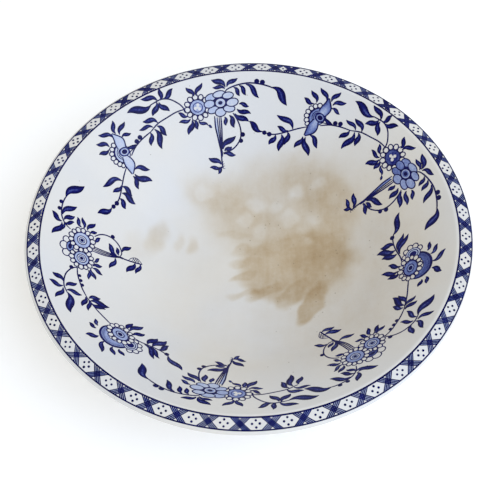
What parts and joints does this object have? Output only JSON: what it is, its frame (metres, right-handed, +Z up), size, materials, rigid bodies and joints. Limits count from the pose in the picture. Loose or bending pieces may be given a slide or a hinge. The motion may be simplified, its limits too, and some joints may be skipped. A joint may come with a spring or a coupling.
{
  "type": "serving bowl",
  "caption": "Round open serving bowl on a foot ring, with an everted rim band and blue underglaze floral sprays inside, under a clear glaze.",
  "frame": {"origin": "centre of the foot ring's resting face, at the bowl's axis", "axes": "+Z up along the bowl's axis of revolution, +X to the right and +Y away as seen from the front, where the join in the rim band is at the back"},
  "size_m": [0.254, 0.254, 0.0567],
  "materials": {
    "biscuit": "unglazed biscuit, hidden under the glaze",
    "foot": "unglazed and worn on the resting face",
    "glaze": "clear gloss glaze over white, with old brown staining",
    "rim_print": "cobalt blue print under a gloss glaze",
    "spray_print": "cobalt blue print under a gloss glaze"
  },
  "bodies": {
    "root": {"bowl_body": "biscuit", "foot_ring": "foot", "glaze_coat": "glaze", "rim_band_print": "rim_print", "spray_right_print": "spray_print", "spray_far_print": "spray_print", "spray_left_print": "spray_print", "spray_near_left_print": "spray_print", "spray_near_right_print": "spray_print"}
  },
  "joints": []
}
